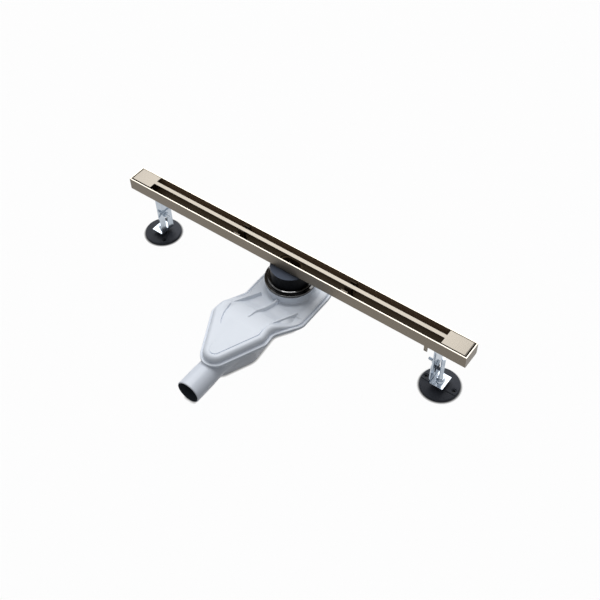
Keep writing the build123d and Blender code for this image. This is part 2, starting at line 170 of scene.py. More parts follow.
@dataclass(frozen=True)
class BrushedSteel(Finish):
    """Stainless steel with a champagne nickel tone, brushed along the channel.

    Long fine strokes shift tone and gloss a little, so broad faces look silky and edges gleam.
    """

    light_tone: str = "#89837A"
    dark_tone: str = "#837D74"
    stroke_length: float = 90.0
    # Real strokes are about 0.1 mm wide, drawn wider so that they show.
    stroke_width: float = 0.8
    stroke_depth: float = 0.002
    roughness: tuple[float, float] = (0.37, 0.42)

    def lay(self, tree: bpy.types.NodeTree, shader: bpy.types.NodeInputs) -> None:
        """Lay the nodes of this finish."""
        places = add_node(tree, "ShaderNodeTexCoord")
        across = per_size(self.stroke_width)
        strokes = add_node(
            tree,
            "ShaderNodeMapping",
            {"Vector": places.outputs["Object"], "Scale": (per_size(self.stroke_length), across, across)},
        )
        grain = add_node(tree, "ShaderNodeTexNoise", {"Vector": strokes.outputs[0], "Scale": 1.0, "Detail": 3.0})
        tone = add_node(
            tree,
            "ShaderNodeMix",
            {0: grain.outputs[0], 6: linear(self.dark_tone), 7: linear(self.light_tone)},
            data_type="RGBA",
        )
        gloss = add_node(
            tree,
            "ShaderNodeMapRange",
            {"Value": grain.outputs[0], "To Min": self.roughness[0], "To Max": self.roughness[1]},
        )
        relief = add_node(
            tree,
            "ShaderNodeBump",
            {"Strength": 0.5, "Distance": self.stroke_depth * MM, "Height": grain.outputs[0]},
        )
        shader["Metallic"].default_value = 1.0
        tree.links.new(tone.outputs[2], shader["Base Color"])
        tree.links.new(gloss.outputs[0], shader["Roughness"])
        tree.links.new(relief.outputs[0], shader["Normal"])


@dataclass(frozen=True)
class TroughSteel(BrushedSteel):
    """The same steel, with painted shade inside the trough, brown, not metallic and less dark on the walls, and a
    painted highlight on the rim's top.
    """

    # Painted highlight: the rim's top takes a lighter tone, for the light that its edge catches.
    rim_tone: str = "#C6BFB3"
    rim_start: float = 146.4
    # Painted shade inside the trough: one tone for the floor, and a less dark one for the walls.
    inside_tone: str = "#3C3123"
    wall_tone: str = "#8A7560"
    wall_start: float = 18.5
    inner_half_width: float = 19.05
    half_length: float = 398.1
    inside_top: float = 144.5
    inside_floor: float = 119.0
    inside_sheen: float = 0.1

    def lay(self, tree: bpy.types.NodeTree, shader: bpy.types.NodeInputs) -> None:
        """Lay the sheet's nodes, paint a highlight on the rim and paint shade on what lies within the trough's inner
        box.
        """
        super().lay(tree, shader)
        middle = (self.inside_top + self.inside_floor) / 2
        half = (self.half_length, self.inner_half_width, self.inside_top - middle)
        places = add_node(tree, "ShaderNodeTexCoord")
        shift = add_node(
            tree,
            "ShaderNodeVectorMath",
            {0: places.outputs["Object"], 1: (0.0, 0.0, middle * MM)},
            operation="SUBTRACT",
        )
        reach = add_node(tree, "ShaderNodeVectorMath", {0: shift.outputs[0]}, operation="ABSOLUTE")
        parts = add_node(tree, "ShaderNodeSeparateXYZ", {0: reach.outputs[0]})
        # Painted shade: a mask of what lies within the trough's inner box.
        inside = 1.0
        for axis, limit in zip("XYZ", half):
            within = add_node(
                tree, "ShaderNodeMath", {0: parts.outputs[axis], 1: limit * MM}, operation="LESS_THAN"
            )
            both = add_node(tree, "ShaderNodeMath", {0: inside, 1: within.outputs[0]}, operation="MULTIPLY")
            inside = both.outputs[0]
        level = add_node(tree, "ShaderNodeSeparateXYZ", {0: places.outputs["Object"]})
        # Painted highlight: steel above the rim's level is mixed to a lighter tone.
        rim = add_node(
            tree, "ShaderNodeMath", {0: level.outputs["Z"], 1: self.rim_start * MM}, operation="GREATER_THAN"
        )
        sheet = shader["Base Color"].links[0].from_socket
        rim_highlighted = add_node(
            tree, "ShaderNodeMix", {0: rim.outputs[0], 6: sheet, 7: linear(self.rim_tone)}, data_type="RGBA"
        )
        wall = add_node(
            tree, "ShaderNodeMath", {0: parts.outputs["Y"], 1: self.wall_start * MM}, operation="GREATER_THAN"
        )
        trough_shade = add_node(
            tree,
            "ShaderNodeMix",
            {0: wall.outputs[0], 6: linear(self.inside_tone), 7: linear(self.wall_tone)},
            data_type="RGBA",
        )
        # Painted shade: within the box the colour turns brown and the steel stops being metallic.
        shaded_sheet = add_node(
            tree, "ShaderNodeMix", {0: inside, 6: rim_highlighted.outputs[2], 7: trough_shade.outputs[2]}, data_type="RGBA"
        )
        outside_shade = add_node(tree, "ShaderNodeMath", {0: 1.0, 1: inside}, operation="SUBTRACT")
        tree.links.new(shaded_sheet.outputs[2], shader["Base Color"])
        tree.links.new(outside_shade.outputs[0], shader["Metallic"])
        shader["Specular IOR Level"].default_value = self.inside_sheen


@dataclass(frozen=True)
class ZincPlate(Finish):
    """Bright zinc plate with a blue passivation.

    Cloudy patches of tone and gloss keep it from looking like chrome.
    """

    light_tone: str = "#CDD4DC"
    dark_tone: str = "#8A95A1"
    patch: float = 19.0
    ripple_depth: float = 0.02
    roughness: tuple[float, float] = (0.12, 0.22)

    def lay(self, tree: bpy.types.NodeTree, shader: bpy.types.NodeInputs) -> None:
        """Lay the nodes of this finish."""
        places = add_node(tree, "ShaderNodeTexCoord")
        cloud = add_node(
            tree,
            "ShaderNodeTexNoise",
            {"Vector": places.outputs["Object"], "Scale": per_size(self.patch), "Detail": 4.0, "Roughness": 0.6},
        )
        tone = add_node(
            tree,
            "ShaderNodeMix",
            {0: cloud.outputs[0], 6: linear(self.dark_tone), 7: linear(self.light_tone)},
            data_type="RGBA",
        )
        gloss = add_node(
            tree,
            "ShaderNodeMapRange",
            {"Value": cloud.outputs[0], "To Min": self.roughness[1], "To Max": self.roughness[0]},
        )
        relief = add_node(
            tree,
            "ShaderNodeBump",
            {"Strength": 0.35, "Distance": self.ripple_depth * MM, "Height": cloud.outputs[0]},
        )
        shader["Metallic"].default_value = 1.0
        tree.links.new(tone.outputs[2], shader["Base Color"])
        tree.links.new(gloss.outputs[0], shader["Roughness"])
        tree.links.new(relief.outputs[0], shader["Normal"])


@dataclass(frozen=True)
class MouldedPlastic(Finish):
    """Injection moulded plastic: an even colour with slow flow shading and a fine mould grain."""

    colour: str
    flow_colour: str
    roughness: tuple[float, float]
    grain_depth: float
    sheen: float = 0.5
    flow: float = 45.0
    # The mould's own grain is about 0.1 mm, drawn coarser so that it shows.
    grain: float = 0.7

    def lay(self, tree: bpy.types.NodeTree, shader: bpy.types.NodeInputs) -> None:
        """Lay the nodes of this finish."""
        places = add_node(tree, "ShaderNodeTexCoord")
        clouds = add_node(
            tree,
            "ShaderNodeTexNoise",
            {"Vector": places.outputs["Object"], "Scale": per_size(self.flow), "Detail": 2.0},
        )
        grain = add_node(
            tree,
            "ShaderNodeTexNoise",
            {"Vector": places.outputs["Object"], "Scale": per_size(self.grain), "Detail": 2.0},
        )
        tone = add_node(
            tree,
            "ShaderNodeMix",
            {0: clouds.outputs[0], 6: linear(self.colour), 7: linear(self.flow_colour)},
            data_type="RGBA",
        )
        gloss = add_node(
            tree,
            "ShaderNodeMapRange",
            {"Value": grain.outputs[0], "To Min": self.roughness[0], "To Max": self.roughness[1]},
        )
        relief = add_node(
            tree,
            "ShaderNodeBump",
            {"Strength": 0.4, "Distance": self.grain_depth * MM, "Height": grain.outputs[0]},
        )
        shader["Specular IOR Level"].default_value = self.sheen
        tree.links.new(self.shaded(tree, places, tone.outputs[2]), shader["Base Color"])
        tree.links.new(gloss.outputs[0], shader["Roughness"])
        tree.links.new(relief.outputs[0], shader["Normal"])

    def shaded(
        self, tree: bpy.types.NodeTree, places: bpy.types.Node, colour: bpy.types.NodeSocket
    ) -> bpy.types.NodeSocket:
        """Give the colour as the surface shows it, plain unless a kind of moulding paints light or shade into it.

        Args:
            tree: Node tree of the material.
            places: Texture coordinate node.
            colour: Even colour of the moulding.

        Returns:
            The socket that the shader takes its colour from.
        """
        return colour


@dataclass(frozen=True)
class PipeMoulding(MouldedPlastic):
    """Moulded plastic with painted shade in its outlet bore, dark grey as a pipe that no light enters looks."""

    bore_colour: str = "#454B52"
    bore_axis: tuple[float, float] = (-15.0, 25.6)
    bore_radius: float = 23.3
    bore_start_y: float = -200.0

    def shaded(
        self, tree: bpy.types.NodeTree, places: bpy.types.Node, colour: bpy.types.NodeSocket
    ) -> bpy.types.NodeSocket:
        """Paint shade on what lies nearer to the outlet's axis than its bore, in front of the chamber: it turns dark
        grey.

        Args:
            tree: Node tree of the material.
            places: Texture coordinate node.
            colour: Even colour of the moulding.

        Returns:
            The socket that the shader takes its colour from.
        """
        # Painted shade: inside the outlet's bore the colour turns dark grey, for a pipe that no light enters.
        axis_x, axis_z = self.bore_axis
        flat = add_node(
            tree,
            "ShaderNodeVectorMath",
            {0: places.outputs["Object"], 1: (1, 0, 1), 2: (-axis_x * MM, 0, -axis_z * MM)},
            operation="MULTIPLY_ADD",
        )
        reach = add_node(tree, "ShaderNodeVectorMath", {0: flat.outputs[0]}, operation="LENGTH")
        inside = add_node(
            tree, "ShaderNodeMath", {0: reach.outputs["Value"], 1: self.bore_radius * MM}, operation="LESS_THAN"
        )
        parts = add_node(tree, "ShaderNodeSeparateXYZ", {0: places.outputs["Object"]})
        ahead = add_node(
            tree, "ShaderNodeMath", {0: parts.outputs["Y"], 1: self.bore_start_y * MM}, operation="LESS_THAN"
        )
        bore = add_node(tree, "ShaderNodeMath", {0: inside.outputs[0], 1: ahead.outputs[0]}, operation="MULTIPLY")
        shaded_bore = add_node(
            tree,
            "ShaderNodeMix",
            {0: bore.outputs[0], 6: colour, 7: linear(self.bore_colour)},
            data_type="RGBA",
        )
        return shaded_bore.outputs[2]


@dataclass(frozen=True)
class DiscMoulding(MouldedPlastic):
    """Moulded plastic with painted light on its upper disc: what lies above the disc's level is paler, as the top
    face catches the light.
    """

    disc_colour: str = "#596170"
    disc_level: float = 115.6

    def shaded(
        self, tree: bpy.types.NodeTree, places: bpy.types.Node, colour: bpy.types.NodeSocket
    ) -> bpy.types.NodeSocket:
        """Paint light on what lies above the disc's level: it turns paler.

        Args:
            tree: Node tree of the material.
            places: Texture coordinate node.
            colour: Even colour of the moulding.

        Returns:
            The socket that the shader takes its colour from.
        """
        # Painted light: the disc's top face is paler than the black body below it.
        parts = add_node(tree, "ShaderNodeSeparateXYZ", {0: places.outputs["Object"]})
        above = add_node(
            tree, "ShaderNodeMath", {0: parts.outputs["Z"], 1: self.disc_level * MM}, operation="GREATER_THAN"
        )
        lit_disc = add_node(
            tree,
            "ShaderNodeMix",
            {0: above.outputs[0], 6: colour, 7: linear(self.disc_colour)},
            data_type="RGBA",
        )
        return lit_disc.outputs[2]


STEEL = BrushedSteel("brushed nickel toned stainless steel", Slot.STEEL)
# The channel's steel, with painted shade in the trough and a painted highlight on the rim.
TROUGH_STEEL = TroughSteel(
    "brushed nickel toned stainless steel with dull trough",
    Slot.STEEL,
    light_tone="#776F64",
    dark_tone="#71695E",
)
# Painted shade: the supports under the cover take a darker tone of the same steel.
SUPPORT_STEEL = TroughSteel(
    "dull stainless steel of the cover supports",
    Slot.STEEL,
    light_tone="#57514A",
    dark_tone="#524C45",
)
ZINC = ZincPlate("blue passivated zinc plate", Slot.ZINC)
# Painted shade: the screws on the trough's floor take the dark brown of the shade there; the higher roughness is the
# plate's own.
SHADED_SCREW_ZINC = ZincPlate(
    "dull zinc plate",
    Slot.ZINC,
    light_tone="#3A3025",
    dark_tone="#2A2219",
    roughness=(0.5, 0.65),
)
TRAP_GREY = MouldedPlastic(
    "moulded grey polypropylene",
    Slot.GREY,
    colour="#D9E0EA",
    flow_colour="#E0E6EF",
    roughness=(0.3, 0.37),
    grain_depth=0.03,
)
OUTLET_GREY = PipeMoulding(
    "moulded grey polypropylene with outlet bore",
    Slot.GREY,
    colour="#D5DCE7",
    flow_colour="#DBE1EB",
    roughness=(0.3, 0.37),
    grain_depth=0.03,
)
SPIGOT_BLACK = DiscMoulding(
    "satin black polypropylene",
    Slot.BLACK,
    colour="#05060A",
    flow_colour="#08090D",
    roughness=(0.32, 0.4),
    grain_depth=0.02,
    sheen=0.06,
)
# Painted shade: the dip tube in the trough takes the dark brown of the shade there.
DIP_SHADE_BROWN = MouldedPlastic(
    "dark brown polypropylene",
    Slot.BLACK,
    colour="#463929",
    flow_colour="#4A3D2C",
    roughness=(0.4, 0.5),
    grain_depth=0.02,
    sheen=0.1,
)
PAD_BLACK = MouldedPlastic(
    "matt black polyamide",
    Slot.BLACK,
    colour="#33363D",
    flow_colour="#383B43",
    roughness=(0.36, 0.46),
    grain_depth=0.05,
    sheen=0.1,
)
SEAL_RUBBER = MouldedPlastic(
    "black seal rubber",
    Slot.RUBBER,
    colour="#050507",
    flow_colour="#08080B",
    roughness=(0.07, 0.1),
    grain_depth=0.005,
    sheen=1.0,
)


def smoothstep(value: Array, start: float, end: float) -> Array:
    """Ease from 0 at start to 1 at end, as three times the share squared less twice its cube."""
    share = np.clip((value - start) / (end - start), 0.0, 1.0)
    return share * share * (3 - 2 * share)


def arc_corners(corners: Corners, steps: int) -> Array:
    """Closed polygon with each corner turned into an arc.

    An arc starts radius times the tangent of half the turn before its corner, and its points are
    the start, turned about the arc's centre by even shares of the corner's turn.

    Args:
        corners: Corner points with the radius that rounds each.
        steps: Points on each arc.

    Returns:
        Points of the outline, in order.
    """
    tips = np.array([tip for tip, radius in corners], float)
    radii = np.array([radius for tip, radius in corners], float)
    run = np.roll(tips, -1, axis=0) - tips
    leave = run / np.linalg.norm(run, axis=1)[:, None]
    come = np.roll(leave, 1, axis=0)
    turn = np.arctan2(come[:, 0] * leave[:, 1] - come[:, 1] * leave[:, 0], (come * leave).sum(axis=1))
    side = np.stack([-come[:, 1], come[:, 0]], axis=1) * np.sign(turn)[:, None]
    start = tips - come * (radii * np.tan(np.abs(turn) / 2))[:, None]
    centre = start + side * radii[:, None]
    angle = turn[:, None] * np.linspace(0, 1, steps)[None, :]
    arm = (start - centre)[:, None, :]
    turned_x = arm[..., 0] * np.cos(angle) - arm[..., 1] * np.sin(angle)
    turned_y = arm[..., 0] * np.sin(angle) + arm[..., 1] * np.cos(angle)
    return (centre[:, None, :] + np.stack([turned_x, turned_y], axis=-1)).reshape(-1, 2)


def even_loop(outline: Array, count: int) -> Array:
    """Points spaced evenly by length along a closed outline.

    Args:
        outline: Points of the outline.
        count: Number of points wanted.

    Returns:
        The spaced points.
    """
    ring = np.vstack([outline, outline[:1]])
    travel = np.concatenate([[0.0], np.cumsum(np.linalg.norm(np.diff(ring, axis=0), axis=1))])
    wanted = np.linspace(0, travel[-1], count, endpoint=False)
    return np.stack([np.interp(wanted, travel, ring[:, 0]), np.interp(wanted, travel, ring[:, 1])], axis=1)


def path_distance(points: Array, path: Array) -> Array:
    """Distance of points in the plane from a path of straight runs.

    Each point is dropped on each run, held between the run's ends, and the shortest drop counts.

    Args:
        points: Points, with X and Y last.
        path: Points of the path.

    Returns:
        Distance of each point.
    """
    starts = path[:-1]
    runs = path[1:] - starts
    away = points[..., None, :] - starts
    share = np.clip((away * runs).sum(axis=-1) / (runs * runs).sum(axis=-1), 0.0, 1.0)
    return np.linalg.norm(away - share[..., None] * runs, axis=-1).min(axis=-1)


def grid_object(name: str, points: Array, loop_rows: bool) -> bpy.types.Object:
    """Make a closed mesh of a grid of points whose columns always close into rings.

    Args:
        name: Name of the object.
        points: Rows of points, in millimetres.
        loop_rows: Whether the last row joins the first; if not, the end rows are capped.

    Returns:
        The new object, shaded smooth apart from sharp edges.
    """
    rows, columns = points.shape[:2]
    index = np.arange(rows * columns).reshape(rows, columns)
    index = np.hstack([index, index[:, :1]])
    ends = [index[0, :-1].tolist(), index[-1, :-1].tolist()]
    if loop_rows:
        index = np.vstack([index, index[:1]])
        ends = []
    quads = np.stack([index[:-1, :-1], index[:-1, 1:], index[1:, 1:], index[1:, :-1]], axis=-1)
    mesh = bpy.data.meshes.new(name)
    mesh.from_pydata((points.reshape(-1, 3) * MM).tolist(), [], quads.reshape(-1, 4).tolist() + ends)
    return finished_object(name, mesh)


def finished_object(name: str, mesh: bpy.types.Mesh) -> bpy.types.Object:
    """Turn a closed mesh's faces outwards, shade it and link it.

    Args:
        name: Name of the object.
        mesh: Its mesh, with its place in its vertices.

    Returns:
        The new object.
    """
    work = bmesh.new()
    work.from_mesh(mesh)
    bmesh.ops.recalc_face_normals(work, faces=work.faces)
    work.to_mesh(mesh)
    work.free()
    mesh.shade_smooth()
    mesh.set_sharp_from_angle(angle=math.radians(38))
    piece = bpy.data.objects.new(name, mesh)
    bpy.context.scene.collection.objects.link(piece)
    return piece


def turned_object(name: str, profile: Array, columns: int) -> bpy.types.Object:
    """Closed profile carried round the Z axis.

    A point is its radius times the cosine and sine of the turn, at its height.

    Args:
        name: Name of the object.
        profile: Radius and height of each profile point.
        columns: Steps of the turn.

    Returns:
        The new object.
    """
    turn = np.linspace(0, 2 * np.pi, columns, endpoint=False)
    radius = profile[:, 0, None]
    height = np.repeat(profile[:, 1, None], columns, axis=1)
    return grid_object(name, np.stack([radius * np.cos(turn), radius * np.sin(turn), height], axis=-1), True)


def seat(piece: bpy.types.Object, node: str, finish: Finish) -> bpy.types.Object:
    """Let a piece stand for a node: it rides on the node's body and takes a finish.

    Args:
        piece: The new piece.
        node: Node that it replaces.
        finish: Its finish.

    Returns:
        The same piece.
    """
    piece.data.materials.clear()
    piece.data.materials.append(finish.material())
    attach(piece, frame["nodes"][node]["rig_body"])
    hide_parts(node)
    LOG.info("%s stands for %s, %d faces, %s", piece.name, node, len(piece.data.polygons), finish.title)
    return piece


@dataclass
class EasedPiece:
    """A node whose form is right as it is, given eased edges that catch the light."""

    node: str
    name: str
    finish: Finish
    edge: float

    def build(self) -> bpy.types.Object:
        """Copy the node's form, join its triangles and round its sharp edges.

        Returns:
            The new piece.
        """
        mesh = frame["nodes"][self.node].data.copy()
        work = bmesh.new()
        work.from_mesh(mesh)
        bmesh.ops.remove_doubles(work, verts=work.verts, dist=0.002 * MM)
        bmesh.ops.dissolve_limit(work, angle_limit=math.radians(0.5), verts=work.verts, edges=work.edges)
        work.to_mesh(mesh)
        work.free()
        mesh.name = self.name
        piece = finished_object(self.name, mesh)
        if self.edge:
            ease = piece.modifiers.new("eased edges", "BEVEL")
            ease.width = self.edge * MM
            ease.segments = 2
            ease.limit_method = "ANGLE"
            ease.angle_limit = math.radians(38)
            ease.harden_normals = True
        return piece

    def dress(self) -> bpy.types.Object:
        """Build the piece and put it in the node's place."""
        return seat(self.build(), self.node, self.finish)


@dataclass
class FoldedSupport(EasedPiece):
    """A folded strip under the cover, whose near lip stands higher and shows beside the rim."""

    near_rise: float = 3.4
    lip_y: float = -12.0
    lip_level: float = 137.0

    def build(self) -> bpy.types.Object:
        """Raise the points of the near lip.

        Returns:
            The new piece.
        """
        piece = super().build()
        spots = np.empty(3 * len(piece.data.vertices), np.float32)
        piece.data.vertices.foreach_get("co", spots)
        spots = spots.reshape(-1, 3)
        lip = (spots[:, 1] < self.lip_y * MM) & (spots[:, 2] > self.lip_level * MM)
        spots[:, 2] += self.near_rise * MM * lip
        piece.data.vertices.foreach_set("co", spots.ravel())
        return piece


@dataclass
class SkewedCover(EasedPiece):
    """The loose cover, which lies nearer to the far wall, and most so at its left end."""

    left_drift: float = 1.6
    right_drift: float = 1.0
    left_reach: float = 0.25
    end_zone: float = 10.0

    def build(self) -> bpy.types.Object:
        """Move each point across, from the right end's drift evenly to the left end's.

        The left end also slides up to the channel's end wall.

        Returns:
            The new piece.
        """
        piece = super().build()
        low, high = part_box(self.node)
        spots = np.empty(3 * len(piece.data.vertices), np.float32)
        piece.data.vertices.foreach_get("co", spots)
        spots = spots.reshape(-1, 3)
        ends = (low.x, high.x)
        spots[:, 1] += np.interp(spots[:, 0], ends, (self.left_drift * MM, self.right_drift * MM))
        spots[:, 0] -= self.left_reach * MM * (spots[:, 0] < low.x + self.end_zone * MM)
        piece.data.vertices.foreach_set("co", spots.ravel())
        return piece


@dataclass
class UpperShell:
    """Moulded upper half of the siphon: flange, rounded shoulder, falling panel, ribs and collar."""

    corners: Corners = (
        ((80.0, 72.0), 60.0),
        ((80.0, -70.0), 28.0),
        ((47.0, -120.0), 20.0),
        ((50.0, -146.0), 25.0),
        ((-13.0, -286.0), 30.0),
        ((-90.0, -140.0), 25.0),
        ((-88.0, -112.0), 25.0),
        ((-64.0, -66.0), 15.0),
        ((-66.0, 72.0), 60.0),
    )
    columns: int = 500
    far_rings: int = 90
    ring_spread: float = 1.35
    rim_thickness: float = 3.0
    rim_edge: float = 1.0
    groove_centre: float = 4.7
    groove_half: float = 1.3
    groove_depth: float = 2.2
    shoulder_start: float = 5.6
    shoulder_run: float = 12.0
    shoulder_fullness: float = 2.7
    offset_end: float = 23.4
    front_height: float = 68.0
    rear_height: float = 57.5
    saddle: tuple[float, float] = (-78.0, -116.0)
    panel_inset: float = 18.6
    panel_edge: float = 0.8
    panel_recess: float = 0.6
    panel_foot: float = 56.5
    left_edge: float = 12.0
    left_x: tuple[float, float] = (-22.0, -42.0)
    recess_fade_y: tuple[float, float] = (-226.0, -205.0)
    rear_edge: float = 7.0
    rear_y: tuple[float, float] = (-90.0, -66.0)
    ramp: tuple[float, float] = (-142.0, -52.0)
    rib_top: float = 66.2
    rib_half: float = 2.8
    rib_fall: float = 5.0
    rib_power: float = 4.0
    ribs: tuple[tuple[tuple[float, float], ...], ...] = (
        ((-35.0, -56.0), (-49.8, -81.8), (-62.0, -103.0), (-62.5, -112.0)),
        ((5.0, -53.0), (2.8, -66.4), (-3.3, -82.6), (-12.9, -98.0), (-15.0, -116.0)),
        ((56.5, -57.0), (46.6, -75.4), (32.6, -102.0), (33.1, -118.0)),
    )
    crease: tuple[tuple[float, float], ...] = (
        (-56.5, -97.0),
        (-60.5, -103.5),
        (-62.0, -110.0),
        (-61.5, -121.0),
        (-58.0, -138.5),
        (-52.0, -154.0),
        (-43.0, -168.5),
    )
    crease_half: float = 1.2
    crease_depth: float = 3.0
    crease_fade: tuple[float, float] = (-170.0, -150.0)
    front_crease_x: tuple[float, float] = (-26.0, -14.0)
    front_crease_y: tuple[float, float] = (-102.0, -112.0)
    collar_radius: float = 49.0
    collar_bore: float = 46.0
    collar_fillet: float = 1.4
    collar_edge: float = 0.6
    collar_margin: float = 0.8
    wall: float = 3.0

    def build(self) -> bpy.types.Object:
        """Carry the section from the rim to the collar round the outline, and back along the inside.

        Near the rim each ring is the outline moved inwards along its normals, less far where the
        collar is close. Further in, rings pass evenly from the last of those to the collar's
        circle. Heights follow the surface.

        Returns:
            The new piece.
        """
        low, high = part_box("trap_upper_shell")
        seam = low.z / MM
        collar_top = high.z / MM
        rim_top = seam + self.rim_thickness
        outline = even_loop(arc_corners(self.corners, 24), self.columns)
        tangent = np.roll(outline, -1, axis=0) - np.roll(outline, 1, axis=0)
        tangent /= np.linalg.norm(tangent, axis=1)[:, None]
        inward = np.stack([tangent[:, 1], -tangent[:, 0]], axis=1)
        turn = np.arctan2(outline[:, 1], outline[:, 0])
        spoke = np.stack([np.cos(turn), np.sin(turn)], axis=1)
        foot = spoke * (self.collar_radius + self.collar_fillet)

        quarter = np.linspace(0, np.pi / 2, 5)
        insets = np.concatenate([
            self.rim_edge * (1 - np.cos(quarter)),
            np.arange(1.4, self.shoulder_start, 0.4),
            self.shoulder_start + self.shoulder_run * np.linspace(0, 1, 30) ** 2,
            np.arange(self.shoulder_start + self.shoulder_run + 0.3, self.offset_end, 0.3),
        ])
        edge_drop = np.zeros(len(insets))
        edge_drop[:len(quarter)] = self.rim_edge * (1 - np.sin(quarter))
        clear = np.linalg.norm(outline, axis=1) - self.collar_radius - self.collar_fillet - self.collar_margin
        squeeze = np.clip((clear - self.shoulder_start) / (self.offset_end - self.shoulder_start), 0.0, 1.0)
        beyond = np.clip(insets - self.shoulder_start, 0.0, None)
        reach = np.minimum(insets, self.shoulder_start)[:, None] + beyond[:, None] * squeeze
        near = outline + reach[..., None] * inward
        near_height = self.height(near, reach, rim_top) - edge_drop[:, None]

        passage = np.linspace(0, 1, self.far_rings + 1)[1:, None, None] ** self.ring_spread
        far = near[-1] * (1 - passage) + foot * passage
        border = np.vstack([outline, outline[:1]])
        far_inset = np.stack([path_distance(row, border) for row in far])
        far_height = self.height(far, far_inset, rim_top)

        bend = np.linspace(0, np.pi / 2, 5)[1:, None, None]
        sweep = spoke * (self.collar_radius + self.collar_fillet * (1 - np.sin(bend)))
        sweep_height = far_height[-1] + self.collar_fillet * (1 - np.cos(bend[..., 0]))
        flat = np.ones(self.columns)
        collar = [
            (self.collar_radius, collar_top - self.collar_edge),
            (self.collar_radius - self.collar_edge, collar_top),
            (self.collar_bore + self.collar_edge, collar_top),
            (self.collar_bore, collar_top - self.collar_edge),
            (self.collar_bore, seam),
        ]
        inner_passage = np.linspace(1, 0, 24)[:, None, None]
        under = near[-1] * (1 - inner_passage) + foot * inner_passage
        under_inset = np.stack([path_distance(row, border) for row in under])
        under_height = np.maximum(self.height(under, under_inset, rim_top) - self.wall, seam)
        under_height[0] = seam

        rings = [near, far, sweep, *[spoke[None] * radius for radius, level in collar], under, outline[None]]
        levels = [near_height, far_height, sweep_height, *[flat[None] * level for radius, level in collar]]
        levels += [under_height, flat[None] * seam]
        points = np.concatenate([np.vstack(rings), np.vstack(levels)[..., None]], axis=-1)
        return grid_object("trap_upper_moulding", points, True)

    def height(self, places: Array, inset: Array, rim_top: float) -> Array:
        """Height of the moulding's upper face.

        The flange is level, with a groove inside it. The shoulder rises as a quarter of a full
        ellipse, to a crown that falls over the saddle. Past the crease the panel takes over where
        it is lower, and each rib is a rounded ridge of even height.

        Args:
            places: Points, with X and Y last.
            inset: Distance of each point from the rim's edge.
            rim_top: Height of the flange.

        Returns:
            Height of each point.
        """
        along = places[..., 1]
        crown = self.rear_height + (self.front_height - self.rear_height) * smoothstep(along, *self.saddle)
        rise = np.clip((inset - self.shoulder_start) / self.shoulder_run, 0.0, 1.0)
        swell = (1 - (1 - rise) ** self.shoulder_fullness) ** (1 / self.shoulder_fullness)
        shoulder = rim_top + (crown - rim_top) * swell
        groove = np.clip(1 - np.abs(inset - self.groove_centre) / self.groove_half, 0.0, 1.0)
        shoulder = shoulder - self.groove_depth * np.sqrt(groove)
        left = smoothstep(places[..., 0], *self.left_x)
        panel_top = self.front_height - self.panel_recess * (1 - left * smoothstep(along, *self.recess_fade_y))
        fall = np.clip((along - self.ramp[0]) / (self.ramp[1] - self.ramp[0]), 0.0, 1.0)
        panel = panel_top + (self.panel_foot - panel_top) * fall
        edge = self.panel_edge + self.left_edge * left + self.rear_edge * smoothstep(along, *self.rear_y)
        share = np.clip((inset - self.panel_inset) / edge, 0.0, 1.0)
        within = share * share * (3 - 2 * share)
        level = shoulder + (np.minimum(shoulder, panel) - shoulder) * within
        line = np.clip(1 - path_distance(places, np.array(self.crease)) / self.crease_half, 0.0, 1.0)
        level = level - self.crease_depth * line * smoothstep(along, *self.crease_fade)
        front = np.clip(1 - np.abs(inset - self.panel_inset) / self.crease_half, 0.0, 1.0)
        shown = smoothstep(places[..., 0], *self.front_crease_x) * smoothstep(along, *self.front_crease_y)
        level = level - self.crease_depth * front * shown
        for path in self.ribs:
            reach = path_distance(places, np.array(path))
            ridge = self.rib_top - self.rib_fall * (reach / self.rib_half) ** self.rib_power
            level = np.maximum(level, ridge)
        return level

    def dress(self) -> bpy.types.Object:
        """Build the moulding and put it in the shell's place."""
        return seat(self.build(), "trap_upper_shell", TRAP_GREY)


@dataclass
class LipSeal:
    """Black rubber seal: a skirt inside the collar, a broad lip round its edge and a narrow one above."""

    skirt: float = 5.55
    lip_height: float = 3.6
    groove_height: float = 1.6
    groove_depth: float = 2.2
    upper_inset: float = 4.6
    overhang: float = 1.6
    wrap: float = 2.0
    wrap_gap: float = 0.3
    collar_radius: float = 49.0
    collar_top: float = 79.0
    bore: float = 40.25
    lip_round: float = 0.9
    small_round: float = 0.3
    slope_run: float = 2.2
    slope_drop: float = 0.7

    def build(self) -> bpy.types.Object:
        """Carry the rounded section round the waste's axis.

        Returns:
            The new piece.
        """
        low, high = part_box("lip_seal")
        reach = high.x / MM + self.overhang
        upper = high.x / MM - self.upper_inset
        wrapped = self.collar_radius + self.wrap_gap
        bottom = low.z / MM
        top = high.z / MM
        lip_top = self.collar_top + self.lip_height
        groove_top = lip_top + self.groove_height
        small = self.small_round
        profile = arc_corners(
            (
                ((self.bore, bottom), small),
                ((self.bore + self.skirt, bottom), small),
                ((self.bore + self.skirt, self.collar_top), small),
                ((wrapped, self.collar_top), small),
                ((wrapped, self.collar_top - self.wrap), small),
                ((reach, self.collar_top - self.wrap), self.lip_round),
                ((reach, lip_top), self.lip_round),
                ((upper - self.groove_depth, lip_top), small),
                ((upper - self.groove_depth, groove_top), small),
                ((upper, groove_top), self.lip_round - small / 2),
                ((upper, top - self.slope_drop), small),
                ((upper - self.slope_run, top), small),
                ((self.bore, top), small),
            ),
            7,
        )
        return turned_object("lip_seal_ring", profile, 160)

    def dress(self) -> bpy.types.Object:
        """Build the ring and put it in the seal's place."""
        return seat(self.build(), "lip_seal", SEAL_RUBBER)


